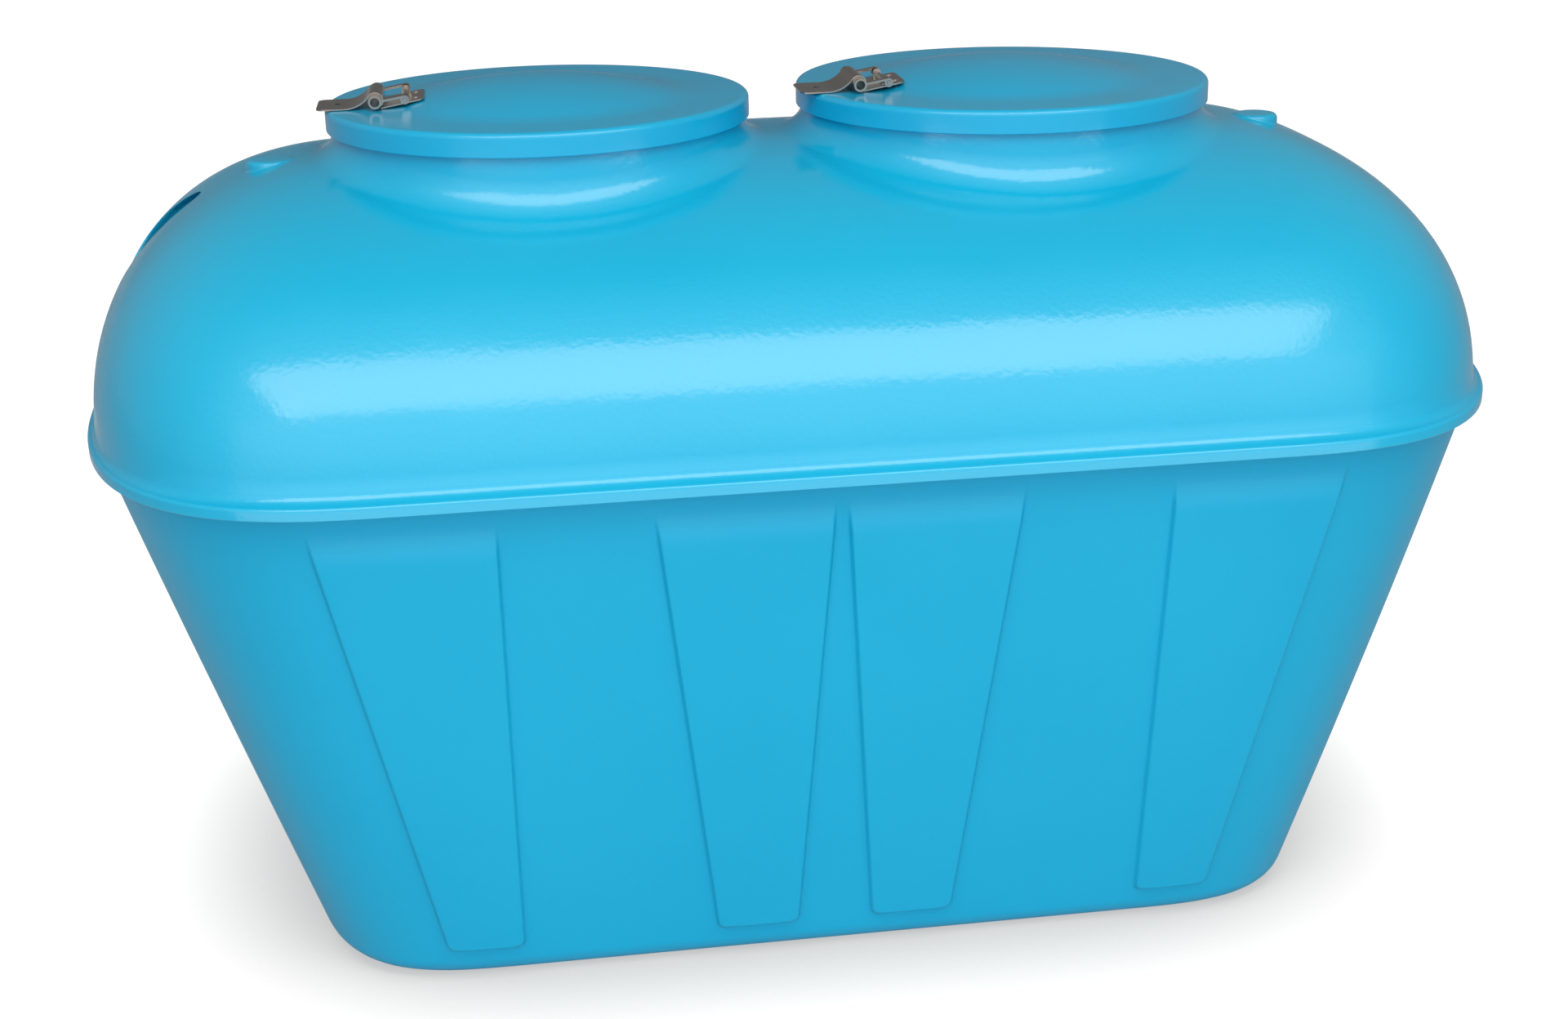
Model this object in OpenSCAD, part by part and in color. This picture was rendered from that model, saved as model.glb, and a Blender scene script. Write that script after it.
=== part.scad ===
// Septic tank moulded in glass-fibre reinforced polyester, with two manholes.
// A tapered tub and a domed top are bonded at a flange. Each manhole neck has a
// lift-off lid, and each lid carries a stainless over-centre latch.
// Sizes are in millimetres. X runs along the tank, Y across it and Z up.
// The origin is the middle of the flat base.

/* [Tub] */
// Length of the base, outside
base_len = 1488; // [1300:4:1600]
// Width of the base, outside
base_wid = 940; // [800:4:1040]
// Length of the tub at its top edge, outside
tub_len = 1990; // [1900:2:2080]
// Width of the tub at its top edge, outside
tub_wid = 1199; // [1100:1:1220]
// Height of the joint between tub and dome
joint_h = 762; // [650:2:900]
// Length of the straight stretch of the long sides at the base
base_straight = 856; // [700:4:900]
// Length of the straight stretch of the long sides at the joint
joint_straight = 1152; // [1000:4:1200]
// How square the ends of the base are, 2 is an ellipse
base_squareness = 3.7; // [2.2:0.1:4.5]
// How square the ends are at the joint, 2 is an ellipse
joint_squareness = 2.72; // [2.1:0.01:3.2]
// Radius between the base and the walls
base_radius = 30; // [16:1:50]
// Thickness of the laminate
laminate = 7; // [5:0.5:10]

/* [Stiffening panels] */
// How far the panels stand proud of the wall
panel_raise = 8; // [4:0.5:14]
// Run of the sloping step along a panel's edges
panel_step = 6; // [3:0.5:12]
// Height of the panels' lower end above the base
panel_foot = 48; // [30:1:90]
// Height at which the panels start to run out under the joint
panel_head = 690; // [560:2:710]
// Height over which they run out
panel_run_out = 44; // [20:1:60]
// Inner panel, inner edge at the base, from the middle of the tank
inner_near_base = 60; // [40:1:90]
// Inner panel, inner edge at the joint
inner_near_joint = 9; // [8:1:60]
// Inner panel, outer edge at the base
inner_far_base = 161; // [130:1:220]
// Inner panel, outer edge at the joint
inner_far_joint = 245; // [160:1:330]
// Outer panel, inner edge, at any height
outer_near = 450; // [360:1:480]
// Outer panel, outer edge at the base
outer_far_base = 541; // [500:1:580]
// Outer panel, outer edge at the joint
outer_far_joint = 691; // [600:1:740]

/* [Dome and flange] */
// How far the flange stands out past the tub at the ends
flange_out_ends = 15; // [12:1:40]
// How far the flange stands out past the tub along the sides
flange_out_sides = 30.5; // [26:0.5:60]
// Height of the lip that hangs round the flange
lip_h = 17; // [14:0.5:30]
// Radius on the lip's top edge
lip_radius = 5; // [2:0.5:6]
// Width of the ledge from the flange's edge to the foot of the dome, at the ends
ledge_ends = 10; // [8:1:30]
// Width of that ledge along the sides
ledge_sides = 22; // [16:1:30]
// Height of the dome's crest above the lip's lower edge
dome_rise = 347; // [260:1:420]
// How square the dome's shoulders are seen from the side, 2 is an ellipse
shoulder_ends = 2.38; // [2:0.01:3]
// How square its shoulders are seen from the end, 2 is an ellipse
shoulder_sides = 2.12; // [2:0.01:3]
// Thickness of the bonding paste between the flanges
bond_t = 3; // [1:0.5:5]

/* [Manholes] */
// Distance between the manhole centres
manhole_pitch = 690; // [680:2:720]
// Outside diameter of a neck
neck_dia = 594; // [520:2:596]
// Radius of the blend between neck and dome
neck_blend = 40; // [20:1:60]
// Width of the gasket under a lid
gasket_w = 10; // [8:1:11]
// Thickness of the gasket under a lid
gasket_t = 6; // [3:0.5:10]

/* [Lids] */
// Outside diameter of a lid
lid_dia = 614; // [612:2:640]
// Height of the manhole rims above the crest of the dome
neck_rise = 55; // [50:1:90]
// Depth of a lid's skirt
skirt_h = 33; // [24:1:45]
// Thickness of a lid
lid_t = 5; // [4:0.5:8]
// Radius round a lid's top edge
lid_radius = 8; // [6:0.5:12]
// Rise of a lid's crown above its flat ring
crown_rise = 27; // [10:1:40]
// Diameter at which the crown starts to rise
crown_dia = 480; // [440:4:540]
// Diameter at which the crown turns from hollow to full
crown_turn = 380; // [300:4:420]

/* [Fittings on the dome] */
// Diameter of a vent boss
boss_dia = 66; // [40:1:100]
// Distance of a vent boss from the middle of the tank
boss_x = 742; // [720:1:760]
// Height of a vent boss over the dome at its middle
boss_rise = 8; // [6:0.5:20]
// Diameter of a pipe seat, cut level into the end of the dome
seat_dia = 170; // [110:2:200]
// Height of a pipe seat's centre above the base
seat_h = 972; // [950:2:1010]
// Distance of a pipe seat's flat face from the middle of the tank
seat_x = 800; // [790:1:850]

/* [Latch] */
// Distance of a latch's barrel from the lid's centre
barrel_r = 232; // [225:1:245]
// Sideways place of the left lid's latch
latch_y_left = -15; // [-60:1:60]
// Sideways place of the right lid's latch
latch_y_right = -50; // [-60:1:60]
// Outside diameter of the barrel
barrel_dia = 19; // [14:0.5:24]
// Bore of the barrel
barrel_bore = 13; // [8:0.5:16]
// Length of the barrel
barrel_len = 124; // [112:1:140]
// Width of the lever
lever_w = 90; // [70:1:96]
// Reach of the lever from the barrel to its tip
lever_reach = 84; // [70:1:100]
// Radius of the lever's sweep from the barrel down to the rim
lever_sweep = 45; // [30:1:60]
// Thickness of the lever's sheet
sheet = 2; // [1.5:0.5:3]
// Diameter of the hole in the lever
lever_hole = 9; // [6:0.5:12]
// Distance of that hole from the barrel
lever_hole_r = 55; // [45:1:65]
// Width of each link arm
arm_w = 13; // [8:1:14]
// Thickness of a link arm
arm_t = 3; // [2:0.5:4]
// Distance from the barrel to the link's pivot pin
link_len = 42; // [36:1:50]
// Diameter of the pivot pin
pin_dia = 6; // [4:0.5:8]
// Width of the base plate
plate_w = 90; // [80:1:100]
// Length of the base plate
plate_len = 62; // [54:1:70]
// Diameter of a rivet's head
rivet_head = 11; // [8:0.5:14]

/* [Hidden] */

// Clearance between parts that turn on each other
running = 0.3;
// Clearance of the curl and the lever's flat over the lid
latch_gap = 1;
// Gap between the tub's flange and the lip that hangs over it
lip_gap = 1;
// Bevel round a neck's rim, and how deep a boss is sunk into the dome
rim_bevel = 2;
boss_depth = 30;
// Points along each quarter of an end, and along the dome's shoulder
end_steps = 12;
shoulder_steps = 11;
// Smoothness of turned parts
$fn = 96;

gelcoat = "#2ba7dc";
steel = "#b9b6b0";
rubber = "#26282b";
paste = "#8fb9c9";

/* Sections: a straight stretch with superelliptic ends */

// Height within the tub, from 0 at the base to 1 at the joint
function up(z) = z / joint_h;
function mix(low, high, f) = low + (high - low) * f;
function tub_a(z) = mix(base_len, tub_len, up(z)) / 2;
function tub_b(z) = mix(base_wid, tub_wid, up(z)) / 2;
function tub_s(z) = mix(base_straight, joint_straight, up(z)) / 2;
function tub_n(z) = mix(base_squareness, joint_squareness, up(z));

// Half width of a section at distance x from the middle
function half_width(x, a, b, s, n) =
    b * pow(max(0, 1 - pow(max(0, x - s) / (a - s), n)), 1 / n);

// Points round the end of a section, from its tip to where x has fallen to x_to
function end_arc(a, b, s, n, x_to) =
    let (last = acos(pow(max(0, x_to - s) / (a - s), n / 2)))
    [for (i = [0 : end_steps - 1])
        let (t = last * i / end_steps)
        [s + (a - s) * pow(cos(t), 2 / n), b * pow(sin(t), 2 / n)]];

// A whole ring from its quarter, which runs from the tip to the middle
function mirrored_ring(quarter, z) =
    let (n = len(quarter))
    concat(
        [for (p = quarter) [p.x, p.y, z]],
        [for (i = [n - 1 : -1 : 0]) [-quarter[i].x, quarter[i].y, z]],
        [for (i = [1 : n - 1]) [-quarter[i].x, -quarter[i].y, z]],
        [for (i = [n - 1 : -1 : 1]) [quarter[i].x, -quarter[i].y, z]]);

// Closed skin over a stack of rings, flat at its first and last ring
module skin(rings) {
    n = len(rings[0]);
    m = len(rings);
    points = [for (ring = rings) each ring];
    walls = [for (i = [0 : m - 2], j = [0 : n - 1])
        let (k = (j + 1) % n)
        [i * n + j, (i + 1) * n + j, (i + 1) * n + k, i * n + k]];
    first = [for (j = [0 : n - 1]) j];
    last = [for (j = [n - 1 : -1 : 0]) (m - 1) * n + j];
    polyhedron(points, concat([first], walls, [last]));
}

/* Tub */

// Panel edges at a height, from the outermost to the innermost
function panel_edges(z) = [
    mix(outer_far_base, outer_far_joint, up(z)),
    outer_near,
    mix(inner_far_base, inner_far_joint, up(z)),
    mix(inner_near_base, inner_near_joint, up(z)),
];

// How much of the panels' raise is reached at a height
function panel_lift(z) =
    z <= panel_foot ? 0
    : z < panel_head ? min(1, (z - panel_foot) / panel_step)
    : max(0, 1 - (z - panel_head) / panel_run_out);

// Ring of the tub at height z, drawn in by inset and with its panels lifted
function tub_ring(z, inset, place) =
    let (
        a = tub_a(place) - inset,
        b = tub_b(place) - inset,
        s = tub_s(place),
        n = tub_n(place),
        raise = panel_raise * panel_lift(place),
        e = panel_edges(place),
        // Foot and crest of the step at each panel edge
        columns = [
            [e[0] + panel_step, 0], [e[0], raise], [e[1], raise], [e[1] - panel_step, 0],
            [e[2] + panel_step, 0], [e[2], raise], [e[3], raise], [e[3] - panel_step, 0],
        ],
        quarter = concat(
            end_arc(a, b, s, n, e[0] + panel_step),
            [for (c = columns) [c[0], half_width(c[0], a, b, s, n) + c[1]]]))
    mirrored_ring(quarter, z);

flange_len = tub_len + 2 * flange_out_ends;
flange_wid = tub_wid + 2 * flange_out_sides;

// Ring that follows the tub's columns at the size of the flange
function flange_ring(z, inset) =
    let (
        a = flange_len / 2 - inset,
        b = flange_wid / 2 - inset,
        s = joint_straight / 2,
        e = panel_edges(joint_h),
        quarter = concat(
            end_arc(a, b, s, joint_squareness, e[0] + panel_step),
            [for (x = [
                e[0] + panel_step, e[0], e[1], e[1] - panel_step,
                e[2] + panel_step, e[2], e[3], e[3] - panel_step])
                [x, half_width(x, a, b, s, joint_squareness)]]))
    mirrored_ring(quarter, z);

// Half the straight stretch of the sides at the joint
foot_s = joint_straight / 2;

// Heights of the flange faces, from the lip's lower edge up
lip_t = laminate - 1;
tub_flange_t = laminate - 2;
ledge_top = joint_h + lip_h;
dome_flange_under = ledge_top - lip_t;
bond_under = dome_flange_under - bond_t;
tub_flange_under = bond_under - tub_flange_t;
tub_flange_inset = lip_t + lip_gap;

// Heights along the wall where the tub's section is drawn
wall_rows = concat(
    [panel_foot, panel_foot + panel_step],
    [for (f = [0.25, 0.5, 0.75]) mix(panel_foot, panel_head, f)],
    [panel_head, panel_head + panel_run_out]);

// Rows round the base radius, from the floor up, for a wall set in by skin_t
function base_rows(skin_t) =
    let (r = base_radius - skin_t)
    [for (i = [0 : 3])
        let (phi = 30 * i)
        tub_ring(skin_t + r * (1 - cos(phi)), skin_t + r * (1 - sin(phi)),
                 skin_t + r * (1 - cos(phi)))];

module tub() {
    color(gelcoat)
        skin(concat(
            base_rows(0),
            [for (z = wall_rows) tub_ring(z, 0, z)],
            [tub_ring(tub_flange_under, 0, joint_h)],
            [flange_ring(tub_flange_under, tub_flange_inset)],
            [flange_ring(bond_under, tub_flange_inset)],
            [tub_ring(bond_under, laminate, joint_h)],
            [for (i = [len(wall_rows) - 1 : -1 : 0])
                tub_ring(wall_rows[i], laminate, wall_rows[i])],
            [for (i = [3 : -1 : 0]) base_rows(laminate)[i]]));
}

/* Dome */

foot_a = flange_len / 2 - ledge_ends;
foot_b = flange_wid / 2 - ledge_sides;

// Quarter of a plain ring, with the same columns round the end as the tub's flange
function plain_quarter(a, b) =
    let (
        full_x = outer_far_joint + panel_step - foot_s,
        bend_x = foot_s + full_x * (a - foot_s) / (flange_len / 2 - foot_s))
    concat(
        end_arc(a, b, foot_s, joint_squareness, bend_x),
        [[bend_x, half_width(bend_x, a, b, foot_s, joint_squareness)], [foot_s, b]]);

// Height of the dome at level k, 1 at the foot and 0 at the crest line, where the
// shoulder changes from the ends' to the sides' as sideways goes from 0 to 1
function dome_height(k, sideways) =
    let (n = mix(shoulder_ends, shoulder_sides, sideways))
    joint_h + dome_rise * pow(max(0, 1 - pow(k, n)), 1 / n);

// Ring of the dome at level k, drawn in by inset
function dome_ring(k, inset) =
    let (
        drop = inset * pow(1 - k, 0.25),
        a = foot_s + (foot_a - foot_s) * k - inset * (1 - pow(1 - k, 2)),
        b = foot_b * k - inset * (1 - pow(1 - k, 2)))
    [for (p = mirrored_ring(plain_quarter(a, b), -drop))
        [p.x, p.y, p.z + dome_height(k, pow(abs(p.y) / b, joint_squareness))]];

// Inset at the ends of a flange ring whose inset along the sides is given
function end_inset(inset) =
    inset <= lip_radius ? inset
    : inset >= ledge_sides ? inset - ledge_sides + ledge_ends
    : mix(lip_radius, ledge_ends, (inset - lip_radius) / (ledge_sides - lip_radius));

// Plain ring of the flange, with the dome's columns
function ledge_ring(z, inset) =
    mirrored_ring(plain_quarter(flange_len / 2 - end_inset(inset), flange_wid / 2 - inset), z);

// Ring with the same inset all round, for the lip
function lip_ring(z, inset) =
    mirrored_ring(plain_quarter(flange_len / 2 - inset, flange_wid / 2 - inset), z);

// Level of each row, close together where the shoulder turns
levels = [for (i = [0 : shoulder_steps])
    pow(cos(mix(14, 86, i / shoulder_steps)), 2 / shoulder_ends)];

// Dome surface above a point of the plan
function dome_z(x, y) =
    let (
        along = pow(max(0, abs(x) - foot_s) / (foot_a - foot_s), joint_squareness),
        across = pow(abs(y) / foot_b, joint_squareness),
        both = along + across)
    both == 0 ? joint_h + dome_rise
    : dome_height(min(1, pow(both, 1 / joint_squareness)), across / both);

module dome_shell() {
    fillet = ledge_sides - lip_radius;
    skin(concat(
        [for (i = [len(levels) - 1 : -1 : 0]) dome_ring(levels[i], laminate)],
        [ledge_ring(dome_flange_under, ledge_sides + laminate)],
        [lip_ring(dome_flange_under, lip_t)],
        [lip_ring(joint_h, lip_t)],
        [ledge_ring(joint_h, 0)],
        [for (phi = [0, 45, 90])
            ledge_ring(ledge_top - lip_radius * (1 - sin(phi)), lip_radius * (1 - cos(phi)))],
        [for (phi = [30, 60, 90])
            ledge_ring(ledge_top + fillet * (1 - cos(phi)), lip_radius + fillet * sin(phi))],
        [for (k = levels) dome_ring(k, 0)]));
}

// Heights of the neck's rim, the gasket and the lid's flat ring
neck_top = joint_h + dome_rise + neck_rise;
gasket_top = neck_top + gasket_t;
lid_h = gasket_top + lid_t;
boss_h = dome_z(boss_x, 0) + boss_rise;
neck_r = neck_dia / 2;
bore_r = neck_r - laminate;

// Blend that sweeps from the dome up to a neck, drawn at the neck's own centre
module neck_foot(centre_x) {
    turns = 72;
    under = laminate / 2;
    function ring_at(r, lift) = [for (i = [0 : turns - 1])
        let (t = 360 * i / turns, x = r * cos(t), y = r * sin(t))
        [x, y, dome_z(centre_x + x, y) + lift]];
    // Both ends of the curve are cut short, so that it runs into the dome and the neck
    rings = concat(
        [ring_at(bore_r + 1, -under), ring_at(neck_r + neck_blend, -under)],
        [for (phi = [75 : -15 : 15])
            ring_at(neck_r + neck_blend * (1 - cos(phi)), neck_blend * (1 - sin(phi)))],
        [ring_at(neck_r - laminate / 4, neck_blend)],
        [ring_at(bore_r + 1, neck_blend)]);
    n = turns;
    m = len(rings);
    polyhedron(
        [for (ring = rings) each ring],
        [for (i = [0 : m - 1], j = [0 : n - 1])
            let (k = (j + 1) % n, q = (i + 1) % m)
            [i * n + j, q * n + j, q * n + k, i * n + k]]);
}

module neck() {
    low = dome_z(manhole_pitch / 2, neck_r) - laminate;
    rotate_extrude()
        polygon([[bore_r, low], [neck_r, low], [neck_r, neck_top - rim_bevel],
                 [neck_r - rim_bevel, neck_top], [bore_r, neck_top]]);
}

module dome() {
    color(gelcoat)
        difference() {
            union() {
                dome_shell();
                for (side = [-1, 1]) {
                    translate([side * manhole_pitch / 2, 0, 0]) {
                        neck();
                        neck_foot(side * manhole_pitch / 2);
                    }
                    translate([side * boss_x, 0, boss_h - boss_depth])
                        cylinder(d = boss_dia, h = boss_depth);
                    seat_pocket(side);
                }
            }
            for (side = [-1, 1]) {
                translate([side * manhole_pitch / 2, 0, joint_h + dome_rise / 2])
                    cylinder(r = bore_r, h = neck_top);
                translate([side * seat_x, 0, seat_h])
                    rotate([0, side * 90, 0])
                        cylinder(d = seat_dia, h = flange_len);
            }
        }
}

// Wall of a pipe seat's pocket, ended half way through the dome's laminate
module seat_pocket(side) {
    intersection() {
        translate([side * (seat_x - laminate), 0, seat_h])
            rotate([0, side * 90, 0])
                cylinder(d = seat_dia + 2 * laminate, h = flange_len / 2);
        skin([for (k = concat([1], levels)) dome_ring(k, laminate / 2)]);
    }
}

module bond_seal() {
    color(paste)
        difference() {
            skin([lip_ring(bond_under, tub_flange_inset + 2),
                  lip_ring(dome_flange_under, tub_flange_inset + 2)]);
            translate([0, 0, -1])
                skin([ledge_ring(bond_under, ledge_sides + laminate),
                      ledge_ring(dome_flange_under + 2, ledge_sides + laminate)]);
        }
}

/* Lids */

crown_r = crown_dia / 2;
turn_r = crown_turn / 2;
// The crown is full inside turn_r and hollow outside it, with one slope where they meet
fullness = crown_rise / (turn_r * turn_r + turn_r * (crown_r - turn_r));
hollowness = fullness * turn_r / (crown_r - turn_r);
function crown_z(r) =
    r >= crown_r ? 0
    : r > turn_r ? hollowness * pow(crown_r - r, 2)
    : crown_rise - fullness * r * r;

// Outline of the space under the lid's surface, set in by skin_t
module lid_outline(skin_t, low) {
    rim = lid_dia / 2;
    top = lid_h - skin_t;
    polygon(concat(
        [for (i = [0 : 16]) let (r = crown_r * i / 16) [r, top + crown_z(r)]],
        [for (t = [90 : -15 : 0])
            [rim - lid_radius + (lid_radius - skin_t) * cos(t),
             lid_h - lid_radius + (lid_radius - skin_t) * sin(t)]],
        [[rim - skin_t, low], [0, low]]));
}

module lid(side) {
    low = lid_h - skirt_h;
    color(gelcoat)
        difference() {
            rotate_extrude()
                difference() {
                    lid_outline(0, low);
                    lid_outline(lid_t, low - 1);
                }
            on_lid(side)
                at_rivets()
                    rivet_hole();
        }
}

module gasket() {
    mid_r = neck_r - laminate / 2;
    color(rubber)
        rotate_extrude()
            translate([mid_r - gasket_w / 2, neck_top])
                square([gasket_w, gasket_t]);
}

/* Latch, drawn with its barrel's axis along Y at the origin, the lid's edge towards -X */

curl_in = barrel_dia / 2 + running;
curl_out = curl_in + sheet;
curl_mid = curl_in + sheet / 2;
// Height of the barrel's axis above the lid's flat ring
axis_h = curl_out + latch_gap;
// Depth of the lever's flat below the barrel's axis
flat_drop = axis_h - latch_gap - sheet / 2;
// Centre of the sweep, which touches both the curl and the flat
sweep_z = lever_sweep - flat_drop;
sweep_x = -sqrt(pow(curl_mid + lever_sweep, 2) - sweep_z * sweep_z);
// Angle at which the curl hands over to the sweep
hand_over = atan2(sweep_z, sweep_x);
// Angle of the curl's free edge, under the barrel's inner side
curl_start = -40;
curl_steps = 36;
sweep_steps = 8;
// Radius of the corners at the lever's tip
tip_corner = 12;

// Points along an arc, from the one numbered first
function arc(centre, radius, from, to, steps, first = 0) =
    [for (i = [first : steps])
        let (t = mix(from, to, i / steps))
        centre + radius * [cos(t), sin(t)]];

// Section of the lever's sheet: curl round the barrel, sweep down, flat on the rim
module lever_profile() {
    barrel = [0, 0];
    sweep = [sweep_x, sweep_z];
    tangent = hand_over - 180;
    polygon(concat(
        arc(barrel, curl_out, curl_start, hand_over, curl_steps),
        arc(sweep, lever_sweep - sheet / 2, tangent, -90, sweep_steps, 1),
        [[-lever_reach, -flat_drop + sheet / 2], [-lever_reach, -flat_drop - sheet / 2]],
        arc(sweep, lever_sweep + sheet / 2, -90, tangent, sweep_steps),
        arc(barrel, curl_in, hand_over, curl_start, curl_steps, 1)));
}

// Lever from above, with round corners at its tip and the hole for a padlock
module lever_plan() {
    difference() {
        union() {
            translate([tip_corner - lever_reach, -lever_w / 2])
                square([lever_reach - tip_corner + curl_out, lever_w]);
            translate([-lever_reach, tip_corner - lever_w / 2])
                square([2 * tip_corner, lever_w - 2 * tip_corner]);
            for (side = [-1, 1])
                translate([tip_corner - lever_reach, side * (lever_w / 2 - tip_corner)])
                    circle(r = tip_corner);
        }
        translate([-lever_hole_r, 0])
            circle(d = lever_hole);
    }
}

module lever() {
    color(steel)
        intersection() {
            rotate([90, 0, 0])
                linear_extrude(lever_w + 2, center = true)
                    lever_profile();
            linear_extrude(2 * lever_sweep, center = true)
                lever_plan();
        }
}

// Height of the pivot pin's axis above the barrel's axis
pin_rise = 1.5;
arm_gap = 1;
arm_y = lever_w / 2 + arm_gap + arm_w / 2;

module link() {
    color(steel) {
        difference() {
            union() {
                rotate([90, 0, 0])
                    cylinder(d = barrel_dia, h = barrel_len, center = true);
                for (side = [-1, 1])
                    translate([0, side * arm_y, 0])
                        link_arm();
            }
            rotate([90, 0, 0])
                cylinder(d = barrel_bore, h = barrel_len + 2, center = true);
        }
    }
}

// Strap from the barrel to an eye round the pivot pin
module link_arm() {
    eye_out = pin_dia / 2 + running + arm_t;
    rotate([90, 0, 0])
        translate([0, 0, -arm_w / 2])
            linear_extrude(arm_w)
                difference() {
                    union() {
                        polygon([
                            [barrel_bore / 2 + 1, -1],
                            [barrel_bore / 2 + 1, arm_t - 1],
                            [link_len, pin_rise + eye_out],
                            [link_len, pin_rise + eye_out - arm_t]]);
                        translate([link_len, pin_rise])
                            circle(r = eye_out);
                    }
                    translate([link_len, pin_rise])
                        circle(d = pin_dia + 2 * running);
                }
}

function latch_y(side) = side < 0 ? latch_y_left : latch_y_right;

// Distance from the barrel's axis to the base plate's near end
plate_near = 8;
// Height of that end above the lid's flat ring, where the crown begins to rise
plate_lift = 0.7;
// Slope of the base plate, which rests on the flat ring and on the crown
plate_tilt = 10;
rivet_dia = 5;
rivet_play = 0.1;
rivet_head_h = 2;
rivet_inset = 12;
rivet_spacing = 48;
// Room under the lid for a tail that meets the crown's slope
rivet_slack = 1.4;

// Thickness of the plate's ears, their wall round the pin and their inset from its sides
ear_t = 2.5;
ear_wall = 3;
ear_inset = 6;

// Two ears that stand up from the plate and hold the pin
module plate_ears() {
    ear_w = pin_dia + 2 * ear_wall;
    difference() {
        for (side = [-1, 1])
            translate([link_len, side * (plate_w / 2 - ear_inset), pin_rise])
                rotate([90, 0, 0])
                    linear_extrude(ear_t, center = true)
                        union() {
                            circle(d = ear_w);
                            translate([-ear_w / 2, -axis_h])
                                square([ear_w, axis_h]);
                        }
        on_plate()
            translate([-plate_w, -plate_w, sheet / 2 - plate_w])
                cube([3 * plate_w, 2 * plate_w, plate_w]);
    }
}

module latch_plate() {
    corner = 10;
    color(steel)
        difference() {
            union() {
                on_plate()
                    linear_extrude(sheet)
                        union() {
                            translate([0, -plate_w / 2])
                                square([plate_len - corner, plate_w]);
                            translate([0, corner - plate_w / 2])
                                square([plate_len, plate_w - 2 * corner]);
                            for (y = [-1, 1])
                                translate([plate_len - corner, y * (plate_w / 2 - corner)])
                                    circle(r = corner);
                        }
                plate_ears();
            }
            translate([link_len, 0, pin_rise])
                rotate([90, 0, 0])
                    cylinder(d = pin_dia + 0.1, h = plate_w + 40, center = true);
            at_rivets()
                rivet_hole();
        }
}

module latch_pin() {
    color(steel)
        translate([link_len, 0, pin_rise])
            rotate([90, 0, 0])
                cylinder(d = pin_dia, h = 2 * (arm_y + arm_w / 2 + 1), center = true);
}

// Frame of the tilted base plate, with its underside at Z = 0
module on_plate() {
    translate([plate_near, 0, plate_lift - axis_h])
        rotate([0, -plate_tilt, 0])
            children();
}

module at_rivets() {
    on_plate()
        for (side = [-1, 1])
            translate([plate_len - rivet_inset, side * rivet_spacing / 2, 0])
                children();
}

module rivet_hole() {
    cylinder(d = rivet_dia + 2 * rivet_play, h = 6 * lid_t, center = true);
}

// Plan place of a rivet about the lid's centre
function rivet_place(side, y) = [
    plate_near + (plate_len - rivet_inset) * cos(plate_tilt) - barrel_r,
    latch_y(side) + y,
];

// Length of a rivet from the plate's underside to its tail, under the lid
function rivet_grip(side, y) =
    let (over_ring = plate_lift + (plate_len - rivet_inset) * sin(plate_tilt))
    lid_t + over_ring - crown_z(norm(rivet_place(side, y))) + rivet_slack;

// Head, shank through plate and lid, and flattened tail under the lid
module latch_rivets(side) {
    color(steel)
        on_plate()
            for (y = [-0.5, 0.5] * rivet_spacing) {
                grip = rivet_grip(side, y);
                translate([plate_len - rivet_inset, y, 0]) {
                    translate([0, 0, sheet])
                        cylinder(d1 = rivet_head, d2 = rivet_head - 4, h = rivet_head_h);
                    translate([0, 0, -grip - rivet_head_h / 2])
                        cylinder(d = rivet_dia, h = grip + sheet + rivet_head_h);
                    translate([0, 0, -grip - rivet_head_h])
                        cylinder(d = rivet_head - 2, h = rivet_head_h);
                }
            }
}

// Places a latch on a lid, about the lid's centre
module on_lid(side) {
    translate([-barrel_r, latch_y(side), lid_h + axis_h])
        children();
}

// Places the pieces of manhole -1 or 1
module at_manhole(side) {
    translate([side * manhole_pitch / 2, 0, 0])
        children();
}

tub();
bond_seal();
dome();
at_manhole(-1) lid(-1);  // lid_left
at_manhole(-1) gasket();  // gasket_left
at_manhole(-1) on_lid(-1) latch_plate();  // latch_plate_left
at_manhole(-1) on_lid(-1) latch_pin();  // latch_pin_left
at_manhole(-1) on_lid(-1) latch_rivets(-1);  // latch_rivets_left
at_manhole(-1) on_lid(-1) link();  // latch_link_left
at_manhole(-1) on_lid(-1) lever();  // latch_lever_left
at_manhole(1) lid(1);  // lid_right
at_manhole(1) gasket();  // gasket_right
at_manhole(1) on_lid(1) latch_plate();  // latch_plate_right
at_manhole(1) on_lid(1) latch_pin();  // latch_pin_right
at_manhole(1) on_lid(1) latch_rivets(1);  // latch_rivets_right
at_manhole(1) on_lid(1) link();  // latch_link_right
at_manhole(1) on_lid(1) lever();  // latch_lever_right
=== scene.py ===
# %% [markdown]
# # A glass-fibre septic tank
# The tank is a tapered tub and a domed top, moulded in glass-fibre laminate and bonded
# at a flange. Two lift-off lids close the manholes, and each carries a steel latch.
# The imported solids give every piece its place. This lesson dresses them: the moulded
# skins are made again with smooth, dense meshes, so that gloss runs cleanly over them.

import math

import bmesh
import bpy
from mathutils import Matrix, Vector
from mathutils.geometry import delaunay_2d_cdt


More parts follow.
